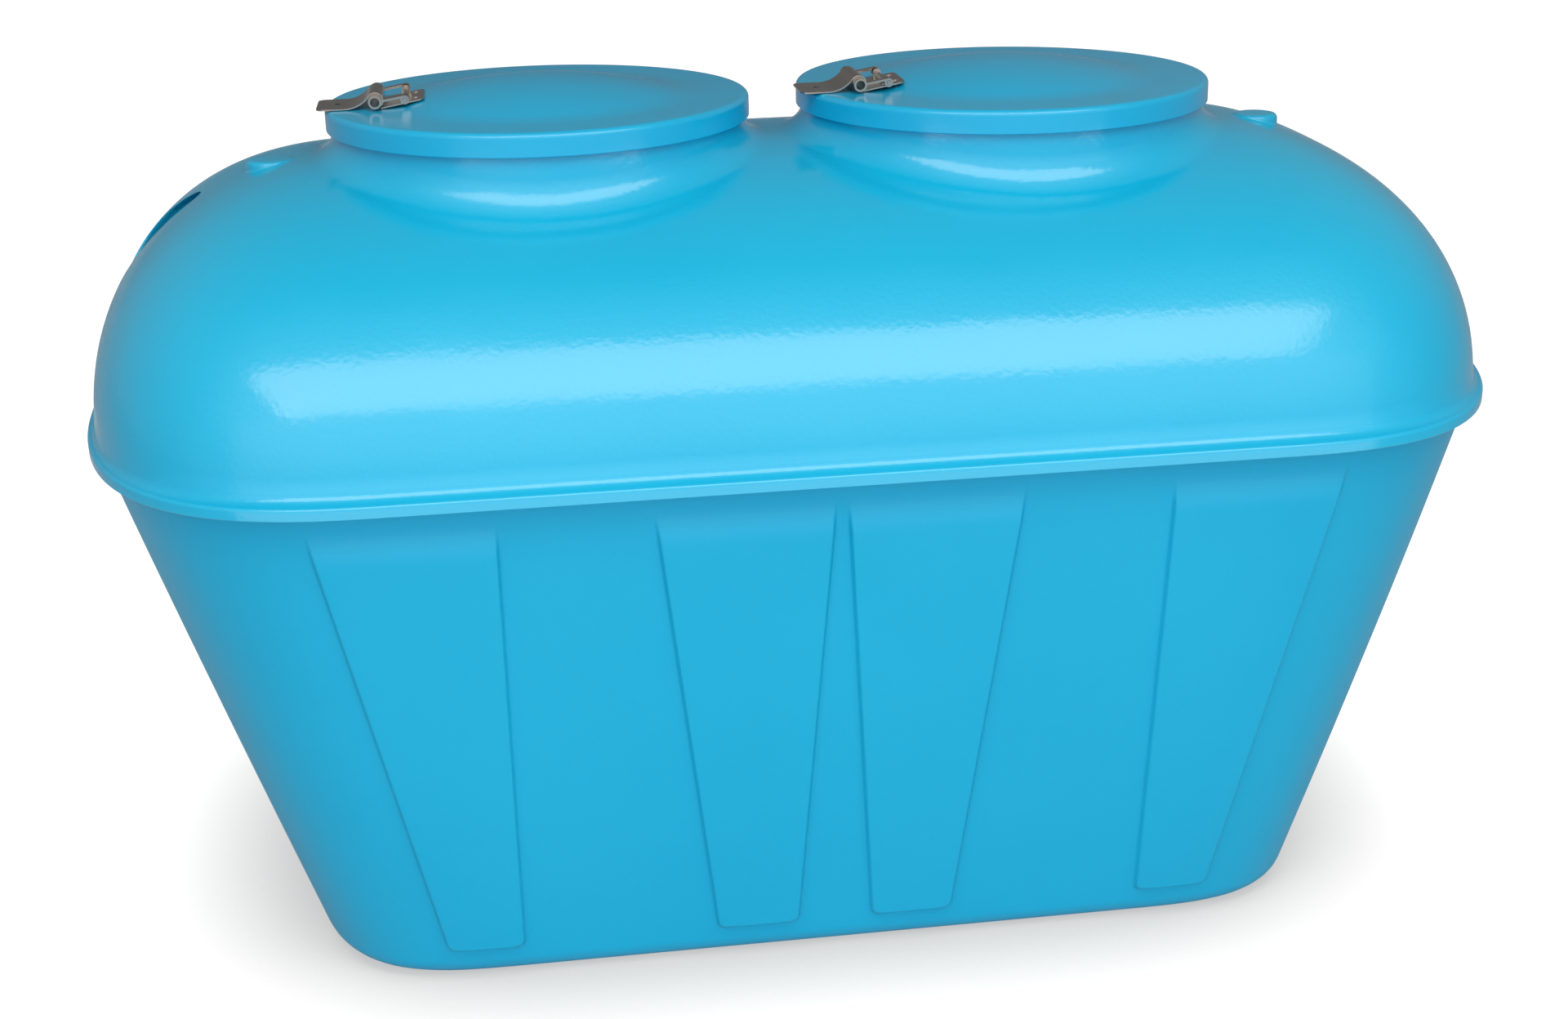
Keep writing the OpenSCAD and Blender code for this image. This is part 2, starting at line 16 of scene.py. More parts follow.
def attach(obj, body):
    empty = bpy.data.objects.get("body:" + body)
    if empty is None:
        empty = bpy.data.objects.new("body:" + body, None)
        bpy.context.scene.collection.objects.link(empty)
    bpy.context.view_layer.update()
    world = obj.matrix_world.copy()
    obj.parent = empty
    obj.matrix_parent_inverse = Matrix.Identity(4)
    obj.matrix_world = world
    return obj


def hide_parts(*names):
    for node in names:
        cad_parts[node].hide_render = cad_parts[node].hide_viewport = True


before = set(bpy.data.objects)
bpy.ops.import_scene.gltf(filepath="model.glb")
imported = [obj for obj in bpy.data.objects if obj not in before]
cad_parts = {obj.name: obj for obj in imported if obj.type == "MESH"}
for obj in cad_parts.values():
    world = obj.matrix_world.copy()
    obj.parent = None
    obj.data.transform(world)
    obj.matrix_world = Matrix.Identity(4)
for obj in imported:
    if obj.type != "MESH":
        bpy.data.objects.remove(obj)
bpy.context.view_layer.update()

# %% [markdown]
# ## Lengths and small helpers
# The mould's sizes are in millimetres, as on a workshop drawing. One helper turns a
# list of points and faces into a piece that rides on a body, so each step below only
# has to say what shape the piece has.

# %% Sizes of the moulded pieces, in millimetres
MM = 0.001
BASE = dict(length=1488, width=940, straight=856, squareness=3.7)
JOINT = dict(length=1990, width=1199, straight=1152, squareness=2.72)
JOINT_H = 762
LAMINATE = 7
BASE_RADIUS = 30
FLANGE_OUT = (15, 30.5)
LIP_H = 17
LIP_RADIUS = 5
LEDGE_ENDS = 10
LEDGE_SIDES = 22
LIP_T = LAMINATE - 1
BOND_T = 3
TUB_FLANGE_T = LAMINATE - 2
TUB_FLANGE_INSET = LIP_T + 1
DOME_RISE = 347
SHOULDER_ENDS = 2.38
SHOULDER_SIDES = 2.12
LEDGE_TOP = JOINT_H + LIP_H
FLANGE_A = JOINT["length"] / 2 + FLANGE_OUT[0]
FLANGE_B = JOINT["width"] / 2 + FLANGE_OUT[1]
FOOT_S = JOINT["straight"] / 2
FOOT_A = FLANGE_A - LEDGE_ENDS
FOOT_B = FLANGE_B - LEDGE_SIDES
print("flange", 2 * FLANGE_A, "by", 2 * FLANGE_B, "mm, dome crest at", JOINT_H + DOME_RISE, "mm")


# %% Small helpers
def mix(low, high, f):
    return low + (high - low) * f


def smooth(f):
    """Eases from 0 to 1 with no slope at either end."""
    f = min(1.0, max(0.0, f))
    return f * f * (3 - 2 * f)


def steps(count):
    return [i / count for i in range(count + 1)]


# %% One helper that makes a piece
# Edges that turn by more than this stay sharp where the rest is smoothed
CREASE = math.radians(40)


def make_piece(name, points, faces, body, nodes=()):
    """A piece from points in millimetres, which stands for the CAD nodes it names."""
    mesh = bpy.data.meshes.new(name)
    mesh.from_pydata([[c * MM for c in p] for p in points], [], faces)
    work = bmesh.new()
    work.from_mesh(mesh)
    bmesh.ops.remove_doubles(work, verts=work.verts, dist=1e-6)
    bmesh.ops.recalc_face_normals(work, faces=work.faces)
    work.to_mesh(mesh)
    work.free()
    mesh.shade_smooth()
    mesh.set_sharp_from_angle(angle=CREASE)
    piece = bpy.data.objects.new(name, mesh)
    bpy.context.scene.collection.objects.link(piece)
    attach(piece, body)
    if nodes:
        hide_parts(*nodes)
    print(name, "has", len(mesh.polygons), "faces")
    return piece


# %% Loops of points, joined into a skin
def loop_faces(first, second, count, closed=True):
    """Quads between two loops of equal length that start at the given indices."""
    last = count if closed else count - 1
    return [
        (first + j, first + (j + 1) % count, second + (j + 1) % count, second + j)
        for j in range(last)
    ]


def skin(rings, close_ends=True):
    """Points and faces of a stack of rings with the same number of points."""
    count = len(rings[0])
    points = [p for ring in rings for p in ring]
    faces = []
    for i in range(len(rings) - 1):
        faces += loop_faces(i * count, (i + 1) * count, count)
    if close_ends:
        faces.append(tuple(range(count)))
        faces.append(tuple((len(rings) - 1) * count + j for j in range(count)))
    return points, faces


# %% [markdown]
# ## The camera
# The tank is seen from the front and a little to the left, from half a metre above the
# lids, through a normal lens. The camera comes first, so that every later step can be
# looked at.

# %% Camera
def aim(position, yaw, pitch, roll):
    """Matrix of a camera that looks along +Y, turned right, down and about its axis."""
    ahead = Vector(
        (math.sin(yaw) * math.cos(pitch), math.cos(yaw) * math.cos(pitch), -math.sin(pitch))
    )
    level = Vector((math.cos(yaw), -math.sin(yaw), 0))
    above = level.cross(ahead)
    right = math.cos(roll) * level + math.sin(roll) * above
    top = math.cos(roll) * above - math.sin(roll) * level
    return Matrix.Translation(position) @ Matrix((right, top, -ahead)).transposed().to_4x4()


camera = bpy.data.objects.new("camera", bpy.data.cameras.new("camera"))
camera.data.lens = 50.9
camera.data.sensor_width = 36
# Eye level of someone who stands 3.3 m away, turned right and down in radians
camera.matrix_world = aim(Vector((-0.4407, -3.2662, 1.701)), yaw=0.1352, pitch=0.3473, roll=-0.022)
bpy.context.scene.collection.objects.link(camera)
bpy.context.scene.camera = camera
print("camera", [round(c, 3) for c in camera.matrix_world.translation])

# %% [markdown]
# ## Materials
# One function turns a paint code into the linear colour that a shader wants, and one
# adds a node with its settings and links.

# %% Colour and node helpers
def to_linear(code):
    channels = [int(code[i : i + 2], 16) / 255 for i in (1, 3, 5)]
    return [
        c / 12.92 if c <= 0.04045 else ((c + 0.055) / 1.055) ** 2.4 for c in channels
    ] + [1.0]


def add(tree, kind, settings={}, links={}):
    """Adds a node. A setting is a socket's name or number, or a property."""
    node = tree.nodes.new(kind)
    for key, value in settings.items():
        if isinstance(key, int) or key in node.inputs:
            node.inputs[key].default_value = value
        else:
            setattr(node, key, value)
    for key, source in links.items():
        tree.links.new(source, node.inputs[key])
    return node


def new_material(name):
    material = bpy.data.materials.new(name)
    material.use_nodes = True
    material.node_tree.nodes.clear()
    return material, material.node_tree


# %% [markdown]
# ### Gelcoat
# The blue skin is gelcoat: pigmented polyester, sprayed on a waxed mould and backed
# with glass-fibre laminate. The mould's gloss comes off on it, so it is a smooth
# dielectric with sharp highlights. What keeps it from looking like glass is orange
# peel, a pebbling about 6 to 12 mm across and a few hundredths of a millimetre deep,
# and a slower wave, a hand's width long, where the laminate has shrunk. The pebbling
# is drawn deeper than it really is, because it would not show otherwise. Cured
# polyester bends light at an IOR of 1.5 to 1.6. The tub's half of the mould is duller
# than the dome's, so it gets a rougher finish and a weaker mirror.

# %% Gelcoat, a glossy pigmented polyester
def gelcoat(name, dark, light, peel=0.35, dull=0.16, shine=0.5):
    material, tree = new_material(name)
    place = add(tree, "ShaderNodeTexCoord").outputs["Object"]
    # Pebbles 8 mm across are 125 to the metre
    pebbles = add(tree, "ShaderNodeTexNoise", {"Scale": 125.0, "Detail": 1.5}, {"Vector": place})
    # Waves 110 mm long are 9 to the metre
    wave = add(tree, "ShaderNodeTexNoise", {"Scale": 9.0, "Detail": 1.0}, {"Vector": place})
    # Patches of unevenly sprayed pigment, some 300 mm across
    patches = add(tree, "ShaderNodeTexNoise", {"Scale": 3.5, "Detail": 3.0}, {"Vector": place})
    tint = add(
        tree,
        "ShaderNodeMix",
        {"data_type": "RGBA", 6: to_linear(dark), 7: to_linear(light)},
        {0: patches.outputs["Fac"]},
    )
    gloss = add(
        tree,
        "ShaderNodeMapRange",
        {"From Min": 0.3, "From Max": 0.7, "To Min": dull - 0.03, "To Max": dull + 0.04},
        {"Value": patches.outputs["Fac"]},
    )
    slow = add(
        tree, "ShaderNodeBump", {"Strength": 0.25, "Distance": 0.004}, {"Height": wave.outputs["Fac"]}
    )
    peeled = add(
        tree,
        "ShaderNodeBump",
        {"Strength": peel, "Distance": 0.0008},
        {"Height": pebbles.outputs["Fac"], "Normal": slow.outputs["Normal"]},
    )
    shader = add(
        tree,
        "ShaderNodeBsdfPrincipled",
        {"IOR": 1.6, "Specular IOR Level": shine},
        {
            "Base Color": tint.outputs[2],
            "Roughness": gloss.outputs["Result"],
            "Normal": peeled.outputs["Normal"],
        },
    )
    add(tree, "ShaderNodeOutputMaterial", {}, {"Surface": shader.outputs["BSDF"]})
    return material


dome_gelcoat = gelcoat("dome_gelcoat", "#0ea6d2", "#16add7")
tub_gelcoat = gelcoat("tub_gelcoat", "#08a4d1", "#10aad6", peel=0.3, dull=0.36, shine=0.25)
# The lids' gelcoat is a little darker than the dome's: painted shade for their level tops, which mirror
# the dim room behind the tank
lid_gelcoat = gelcoat("lid_gelcoat", "#0ca2d0", "#14a8d6", peel=0.2, dull=0.2, shine=0.4)
print("gelcoats:", dome_gelcoat.name, tub_gelcoat.name, lid_gelcoat.name)

# %% [markdown]
# ### Steel, rubber and paste
# The latches are stamped from polished stainless sheet: a metal, grey and mirror-like,
# with fine rolling lines. The gaskets are black moulded rubber, and the bead of
# bonding paste between the flanges is resin thickened with filler, dull and pale.

# %% Stainless steel, rolled and polished
def stainless():
    material, tree = new_material("polished_stainless")
    place = add(tree, "ShaderNodeTexCoord").outputs["Object"]
    # Rolling lines 0.5 mm apart, drawn out 40 times along the sheet. Real ones are
    # finer, and are drawn this coarse so that they show.
    stretch = add(tree, "ShaderNodeMapping", {"Scale": (50.0, 2000.0, 2000.0)}, {"Vector": place})
    lines = add(
        tree, "ShaderNodeTexNoise", {"Scale": 1.0, "Detail": 2.0}, {"Vector": stretch.outputs[0]}
    )
    gloss = add(
        tree, "ShaderNodeMapRange", {"To Min": 0.12, "To Max": 0.28}, {"Value": lines.outputs["Fac"]}
    )
    brushed = add(
        tree, "ShaderNodeBump", {"Strength": 0.15, "Distance": 0.0001}, {"Height": lines.outputs["Fac"]}
    )
    shader = add(
        tree,
        "ShaderNodeBsdfPrincipled",
        {"Base Color": to_linear("#b8b0a8"), "Metallic": 1.0},
        {"Roughness": gloss.outputs["Result"], "Normal": brushed.outputs["Normal"]},
    )
    add(tree, "ShaderNodeOutputMaterial", {}, {"Surface": shader.outputs["BSDF"]})
    return material


polished_stainless = stainless()


# %% Rubber and bonding paste, both dull with a fine grain
def dull_material(name, dark, light, roughness, grains_per_metre):
    material, tree = new_material(name)
    place = add(tree, "ShaderNodeTexCoord").outputs["Object"]
    grain = add(
        tree, "ShaderNodeTexNoise", {"Scale": grains_per_metre, "Detail": 3.0}, {"Vector": place}
    )
    tint = add(
        tree,
        "ShaderNodeMix",
        {"data_type": "RGBA", 6: to_linear(dark), 7: to_linear(light)},
        {0: grain.outputs["Fac"]},
    )
    bump = add(
        tree, "ShaderNodeBump", {"Strength": 0.4, "Distance": 0.0003}, {"Height": grain.outputs["Fac"]}
    )
    shader = add(
        tree,
        "ShaderNodeBsdfPrincipled",
        {"Roughness": roughness},
        {"Base Color": tint.outputs[2], "Normal": bump.outputs["Normal"]},
    )
    add(tree, "ShaderNodeOutputMaterial", {}, {"Surface": shader.outputs["BSDF"]})
    return material


# Grain of 1.1 mm in the rubber and 2.5 mm in the paste. The rubber's real grain is
# finer, and is drawn this coarse so that it shows.
moulded_rubber = dull_material("moulded_rubber", "#1d1f21", "#303234", 0.65, 900.0)
bonding_paste = dull_material("bonding_paste", "#7fa9ba", "#9cc4d3", 0.6, 400.0)
print("other finishes:", polished_stainless.name, moulded_rubber.name, bonding_paste.name)

# %% [markdown]
# ## The tub
# A section of the tub is a straight stretch with superelliptic ends, and it grows
# from the base to the joint. Four stiffening panels on each long side stand 8 mm
# proud. A maker would shape them in the mould with a soft step all round, so the
# lift here eases in over the step and turns a round corner at each lower end. The
# mesh has its columns along the panels' sloping edges, which keeps those edges clean.

# %% Sections of the tub
PANEL_RAISE = 8
PANEL_STEP = 6
PANEL_FOOT = 48
PANEL_HEAD = 680
PANEL_RUN_OUT = 56
PANEL_CORNER = 15


def section(z):
    """Half length, half width, half straight and squareness at a height."""
    f = z / JOINT_H
    return (
        mix(BASE["length"], JOINT["length"], f) / 2,
        mix(BASE["width"], JOINT["width"], f) / 2,
        mix(BASE["straight"], JOINT["straight"], f) / 2,
        mix(BASE["squareness"], JOINT["squareness"], f),
    )


def half_width(x, a, b, s, n):
    return b * max(0.0, 1 - (max(0.0, x - s) / (a - s)) ** n) ** (1 / n)


def end_points(a, b, s, n, x_to, count):
    """Evenly spaced points from the tip round to x_to, without the last."""
    last = math.acos((max(0.0, x_to - s) / (a - s)) ** (n / 2))
    fine = [
        (s + (a - s) * math.cos(last * t) ** (2 / n), b * math.sin(last * t) ** (2 / n))
        for t in steps(600)
    ]
    run = [0.0]
    for p, q in zip(fine, fine[1:]):
        run.append(run[-1] + math.dist(p, q))
    points, at = [], 0
    for i in range(count):
        goal = run[-1] * i / count
        while run[at + 1] < goal:
            at += 1
        f = (goal - run[at]) / (run[at + 1] - run[at])
        points.append((mix(fine[at][0], fine[at + 1][0], f), mix(fine[at][1], fine[at + 1][1], f)))
    return points


def whole_ring(quarter, z):
    """Mirrors a quarter, from the tip to the middle, into a ring at height z."""
    front = quarter + [(-x, y) for x, y in reversed(quarter) if x > 1e-6]
    back = [(x, -y) for x, y in reversed(front[1:-1])]
    return [(x, y, z) for x, y in front + back]


# %% Panels, by their edges' distance from the middle at the base and at the joint
OUTER_FAR, OUTER_NEAR = (541, 691), (450, 450)
INNER_FAR, INNER_NEAR = (161, 245), (60, 9)


def panel_edges(z):
    return [mix(*edge, z / JOINT_H) for edge in (OUTER_FAR, OUTER_NEAR, INNER_FAR, INNER_NEAR)]


def panel_lift(x, z):
    """How far the wall stands proud at a point of the side."""
    outer_far, outer_near, inner_far, inner_near = panel_edges(z)
    rise = 0.0
    for far, near in ((outer_far, outer_near), (inner_far, inner_near)):
        across = min(far + PANEL_STEP - x, x - near + PANEL_STEP)
        up = z - PANEL_FOOT
        if across > 0 and up > 0:
            inside = min(across, up)
            if across < PANEL_CORNER and up < PANEL_CORNER:
                inside = PANEL_CORNER - math.hypot(PANEL_CORNER - across, PANEL_CORNER - up)
            rise = max(rise, smooth(inside / PANEL_STEP))
    return PANEL_RAISE * rise * (1 - smooth((z - PANEL_HEAD) / PANEL_RUN_OUT))


# %% Columns that follow the panels' edges
# Depths into a panel at which a column lies, close together where the step rises
INTO_PANEL = [-10, -4, -1.5, 0, 1, 2, 3, 4, 5, 6, 8, 11, 16]
BETWEEN = (0.2, 0.4, 0.6, 0.8)


def tub_columns(z):
    """Places of the columns along the side at a height, from the end to the middle."""
    outer_far, outer_near, inner_far, inner_near = panel_edges(z)
    columns = []
    for far, near, after in (
        (outer_far, outer_near, inner_far + PANEL_STEP - INTO_PANEL[0]),
        (inner_far, inner_near, None),
    ):
        far_foot, near_foot = far + PANEL_STEP, near - PANEL_STEP
        columns += [far_foot - d for d in INTO_PANEL]
        crest = (columns[-1], near_foot + INTO_PANEL[-1])
        columns += [mix(*crest, f) for f in BETWEEN]
        if after is None:
            columns += [near_foot + d for d in reversed(INTO_PANEL) if d >= 0]
            columns += [near_foot * f for f in (0.75, 0.4, 0)]
        else:
            columns += [near_foot + d for d in reversed(INTO_PANEL)]
            columns += [mix(near_foot + INTO_PANEL[0], after, f) for f in BETWEEN]
    return columns


def tub_ring(z, inset=0.0, place=None, grow=(0, 0)):
    """The section for the height `place`, laid at height z."""
    place = z if place is None else place
    a, b, s, n = section(place)
    a, b = a - inset + grow[0], b - inset + grow[1]
    columns = tub_columns(place)
    quarter = end_points(a, b, s, n, columns[0], 40)
    quarter += [(x, half_width(x, a, b, s, n) + panel_lift(x, place)) for x in columns]
    return whole_ring(quarter, z)


# %% [markdown]
# The tub's skin goes up the outside, round the out-turned flange and down the inside at
# laminate thickness. It is one closed skin, so it can be printed or cut as it is.

# %% Rows of the tub
def tub_rows():
    """Heights of the rows: close together at the panels' feet and heads."""
    close_from, close_to = PANEL_FOOT - 2, PANEL_FOOT + 18
    rows = list(range(BASE_RADIUS + 2, close_from, 4)) + list(range(close_from, close_to, 2))
    rows += [70, 78, 90] + [mix(90, PANEL_HEAD, f) for f in steps(24)][1:]
    rows += [PANEL_HEAD + PANEL_RUN_OUT * f for f in steps(7)][1:] + [JOINT_H - 16]
    return rows


def base_rows(wall):
    radius = BASE_RADIUS - wall
    turns = [math.radians(90 * f) for f in steps(8)]
    return [
        tub_ring(
            wall + radius * (1 - math.cos(t)),
            wall + radius * (1 - math.sin(t)),
            wall + radius * (1 - math.cos(t)),
        )
        for t in turns
    ]


# %% Tub, outside and inside in one closed skin
def tub_flange():
    """The flange turns out under the dome's, with room for the bonding paste."""
    top = LEDGE_TOP - LIP_T - BOND_T
    under = top - TUB_FLANGE_T
    grow = (FLANGE_OUT[0] - TUB_FLANGE_INSET, FLANGE_OUT[1] - TUB_FLANGE_INSET)
    return [
        tub_ring(under, 0, JOINT_H),
        tub_ring(under, 0, JOINT_H, grow),
        tub_ring(top, 0, JOINT_H, grow),
        tub_ring(top, LAMINATE, JOINT_H),
    ]


def tub_rings():
    rows = tub_rows()
    outside = base_rows(0) + [tub_ring(z) for z in rows]
    inside = [tub_ring(z, LAMINATE) for z in reversed(rows[::2])] + base_rows(LAMINATE)[::-1]
    return outside + tub_flange() + inside


tub = make_piece("tub_moulding", *skin(tub_rings()), "tank", ["tub"])
tub.data.materials.append(tub_gelcoat)

# %% [markdown]
# ## The dome
# The dome is one moulding with its two manhole necks, its two round vent bosses and
# its flange. Over most of it the surface is a height above the plan, so its skin can
# be drawn as a plan: rings of points that follow the rim, cleared away round each neck
# and boss, where circles take their place. A triangulation joins them, and each point
# is then lifted to its height. That puts the blends round the necks in the same skin
# as the dome, with no seam for the gloss to catch on.

# %% Heights of the dome
NECK_X = 345
NECK_R = 297
NECK_BLEND = 40
BORE_R = NECK_R - LAMINATE
NECK_TOP = JOINT_H + DOME_RISE + 55
BOSS_X = {-1: -738, 1: 746}
BOSS_R = 33
BOSS_RISE = 8


def dome_height(k, sideways):
    """Height at a level, 1 at the foot and 0 at the crest, from end (0) to side (1)."""
    n = mix(SHOULDER_ENDS, SHOULDER_SIDES, sideways)
    return JOINT_H + DOME_RISE * max(0.0, 1 - min(1.0, k) ** n) ** (1 / n)


def dome_over(x, y, a, b):
    """Height over a point of the plan, for a dome whose foot is at a and b."""
    n = JOINT["squareness"]
    along = (max(0.0, abs(x) - FOOT_S) / (a - FOOT_S)) ** n
    across = (abs(y) / b) ** n
    both = along + across
    return dome_height(both ** (1 / n), across / both) if both > 0 else JOINT_H + DOME_RISE


def blend_lift(x, y):
    """Height that the sweep up to a neck adds at a point of the plan."""
    lift = 0.0
    for side in (-1, 1):
        out = math.hypot(x - side * NECK_X, y) - NECK_R
        if -1 < out < NECK_BLEND:
            turn = 1 - max(0.0, out) / NECK_BLEND
            lift += NECK_BLEND * (1 - math.sqrt(1 - turn * turn))
    return lift


def dome_outside(x, y):
    return dome_over(x, y, FOOT_A, FOOT_B) + blend_lift(x, y)


def dome_inside(x, y):
    return dome_over(x, y, FOOT_A - LAMINATE, FOOT_B - LAMINATE) - LAMINATE


BOSS_TOP = dome_outside(BOSS_X[-1], 0) + BOSS_RISE
print("necks reach", NECK_TOP, "mm and bosses", round(BOSS_TOP), "mm")

# %% Rings of the plan
# Columns round a quarter of an end, and along half of a straight side
ENDS, STRAIGHT = 44, 44


def dome_levels(pitch):
    """Levels from the foot to the crest, evenly spaced over the curve of the side."""
    n = SHOULDER_SIDES
    first = (1 - ((LIP_H + LEDGE_SIDES - LIP_RADIUS) / DOME_RISE) ** n) ** (1 / n)
    fine = [(first * (1 - f), dome_height(first * (1 - f), 1)) for f in steps(4000)]
    levels, run = [first], 0.0
    for p, q in zip(fine, fine[1:]):
        run += math.dist((FOOT_B * p[0], p[1]), (FOOT_B * q[0], q[1]))
        if run >= pitch:
            levels.append(q[0])
            run = 0.0
    return levels


def plan_ring(a, b, ends=ENDS):
    n = JOINT["squareness"]
    quarter = end_points(a, b, FOOT_S, n, FOOT_S, ends)
    quarter += [(FOOT_S * (1 - f), b) for f in steps(STRAIGHT)]
    return [(x, y) for x, y, z in whole_ring(quarter, 0)]


def circle(x, y, radius, count):
    turns = [2 * math.pi * i / count for i in range(count)]
    return [(x + radius * math.cos(t), y + radius * math.sin(t)) for t in turns]


# %% Triangles between the rim and the circles
def triangulate(rim, rings, holes, margin):
    """Triangles between a rim and the holes. Each hole is (x, y, radii, count)."""
    loops = [rim] + [circle(x, y, radii[0], count) for x, y, radii, count in holes]
    loose = [
        p
        for ring in rings
        for p in ring
        if all(math.hypot(p[0] - x, p[1] - y) > radii[-1] + margin for x, y, radii, c in holes)
    ]
    for x, y, radii, count in holes:
        for radius in radii[1:]:
            loose += circle(x, y, radius, count)
    points, edges = [], []
    for loop in loops:
        first = len(points)
        points += loop
        edges += [(first + j, first + (j + 1) % len(loop)) for j in range(len(loop))]
    points += loose
    found, _, triangles, origins, _, _ = delaunay_2d_cdt(
        [Vector(p) for p in points], edges, [], 0, 1e-5, True
    )
    place = {source: i for i, sources in enumerate(origins) for source in sources}
    kept = []
    for triangle in triangles:
        middle = sum((found[i] for i in triangle), Vector((0, 0))) / len(triangle)
        if all(math.hypot(middle.x - x, middle.y - y) > r[0] for x, y, r, c in holes):
            kept.append(tuple(triangle))
    starts, first = [], 0
    for loop in loops:
        starts.append([place[first + j] for j in range(len(loop))])
        first += len(loop)
    return [(p.x, p.y) for p in found], kept, starts


# %% A skin that grows loop by loop
class Shell:
    """Points and faces that grow as loops are joined to each other."""

    def __init__(self):
        self.points, self.faces = [], []

    def loop(self, points):
        first = len(self.points)
        self.points += points
        return list(range(first, first + len(points)))

    def join(self, one, two):
        count = len(one)
        self.faces += [
            (one[j], one[(j + 1) % count], two[(j + 1) % count], two[j]) for j in range(count)
        ]

    def strip(self, start, rings):
        """Joins a loop to rings one after another, and gives the last loop."""
        for ring in rings:
            following = self.loop(ring)
            self.join(start, following)
            start = following
        return start

    def sheet(self, plan, triangles, height):
        first = len(self.points)
        self.points += [(x, y, height(x, y)) for x, y in plan]
        self.faces += [tuple(first + i for i in t) for t in triangles]
        return first


# %% [markdown]
# The dome's skin is built in the order that a hand would follow it: over the top, down
# the side, round the lip and in under the flange, and up the inside. Then the necks and
# the bosses are raised on the circles that the plan left open for them.

# %% Rings of the dome's side
def ring_at(inset, z, inset_ends=None):
    a = FLANGE_A - (inset if inset_ends is None else inset_ends)
    return [(x, y, z) for x, y in plan_ring(a, FLANGE_B - inset)]


def plan_at(k, wall):
    """Half length and half width of the plan at a level."""
    return FOOT_S + (FOOT_A - wall - FOOT_S) * k, (FOOT_B - wall) * k


def dome_ring(k, wall):
    a, b = plan_at(k, wall)
    drop = wall * (1 - k) ** 0.25
    return [
        (x, y, dome_height(k, (abs(y) / b) ** JOINT["squareness"]) - drop)
        for x, y in plan_ring(a, b)
    ]


# %% Top of the dome, drawn as a plan
def dome_top(shell, levels, wall, holes, height, margin):
    """Adds the part of a skin that is drawn as a plan. Gives its rim and holes' loops."""
    rings = [plan_ring(*plan_at(k, wall), max(4, round(ENDS * k))) for k in levels]
    rim = plan_ring(*plan_at(levels[0], wall))
    crest = [[(FOOT_S * (2 * f - 1), 0.0) for f in steps(2 * STRAIGHT)]]
    plan, triangles, loops = triangulate(rim, rings[1:] + crest, holes, margin)
    first = shell.sheet(plan, triangles, height)
    return [[first + i for i in loop] for loop in loops]


# %% Fillet, ledge, lip and flange
def turns_from(first, last, step):
    """Angles in radians, from a range in degrees."""
    return [math.radians(t) for t in range(first, last, step)]


def fillet_rings():
    """The hollow corner where the dome's side meets the ledge."""
    sides, ends = LEDGE_SIDES - LIP_RADIUS, LEDGE_ENDS - LIP_RADIUS
    return [
        ring_at(
            LIP_RADIUS + sides * math.sin(t),
            LEDGE_TOP + sides * (1 - math.cos(t)),
            LIP_RADIUS + ends * math.sin(t),
        )
        for t in turns_from(80, -1, -10)
    ]


def lip_rings():
    """Round the hanging lip and in under the flange."""
    edge = [
        ring_at(LIP_RADIUS * (1 - math.cos(t)), LEDGE_TOP - LIP_RADIUS * (1 - math.sin(t)))
        for t in turns_from(75, -1, -15)
    ]
    return edge + [
        ring_at(0, JOINT_H + 1),
        ring_at(1, JOINT_H),
        ring_at(LIP_T, JOINT_H),
        ring_at(LIP_T, LEDGE_TOP - LIP_T),
        ring_at(LEDGE_SIDES + LAMINATE, LEDGE_TOP - LIP_T, LEDGE_ENDS + LAMINATE),
    ]


# %% Necks and bosses
NECK_COLUMNS, BOSS_COLUMNS = 180, 64
# Outside of the rounded rim, then the bore, as radius and height
NECK_RIM = (
    (NECK_R, NECK_TOP - 3),
    (NECK_R - 0.9, NECK_TOP - 0.9),
    (NECK_R - 3, NECK_TOP),
    (BORE_R + 1, NECK_TOP),
    (BORE_R, NECK_TOP - 1),
    (BORE_R, NECK_TOP - 30),
)
BOSS_FOOT = BOSS_R + 4
# A small sweep at the foot, as extra radius and share of the height
BOSS_SWEEP = ((2.0, 0.08), (0.8, 0.2), (0.2, 0.3), (0.0, 0.38))
# The rounded top edge, as inset and share of the height below the top
BOSS_EDGE = ((0, 0.58), (0.8, 0.36), (2.2, 0.17), (4.2, 0.05), (7, 0.0), (14, 0.0))
# The sweep and the edge stop growing where the boss is taller than this
BOSS_SHAPED = 12


def neck_rings(side):
    """Up a neck's outside, over its rim and down its bore."""
    wall = [
        [
            (x, y, mix(dome_outside(x, y), NECK_TOP - 3, f))
            for x, y in circle(side * NECK_X, 0, NECK_R, NECK_COLUMNS)
        ]
        for f in (0.35, 0.7)
    ]
    rim = [
        [(x, y, z) for x, y in circle(side * NECK_X, 0, radius, NECK_COLUMNS)]
        for radius, z in NECK_RIM
    ]
    return wall + rim


def boss_rings(side):
    """A boss: its foot follows the dome, and its top is level."""
    x = BOSS_X[side]
    ground = [dome_outside(*p) for p in circle(x, 0, BOSS_FOOT, BOSS_COLUMNS)]
    wall = [
        [
            (px, py, z + share * min(BOSS_TOP - z, BOSS_SHAPED))
            for (px, py), z in zip(circle(x, 0, BOSS_R + wider, BOSS_COLUMNS), ground)
        ]
        for wider, share in BOSS_SWEEP
    ]
    edge = [
        [
            (px, py, BOSS_TOP - drop * min(BOSS_TOP - z, BOSS_SHAPED))
            for (px, py), z in zip(circle(x, 0, BOSS_R - inset, BOSS_COLUMNS), ground)
        ]
        for inset, drop in BOSS_EDGE
    ]
    return wall + edge


# %% The whole skin
# Levels above this are steep, and are joined ring to ring. The rest is drawn as a plan.
STEEP = 0.93
OUTSIDE_PITCH, INSIDE_PITCH = 13, 24


def steep_and_flat(pitch):
    levels = dome_levels(pitch)
    return [k for k in levels if k > STEEP], [k for k in levels if k <= STEEP]


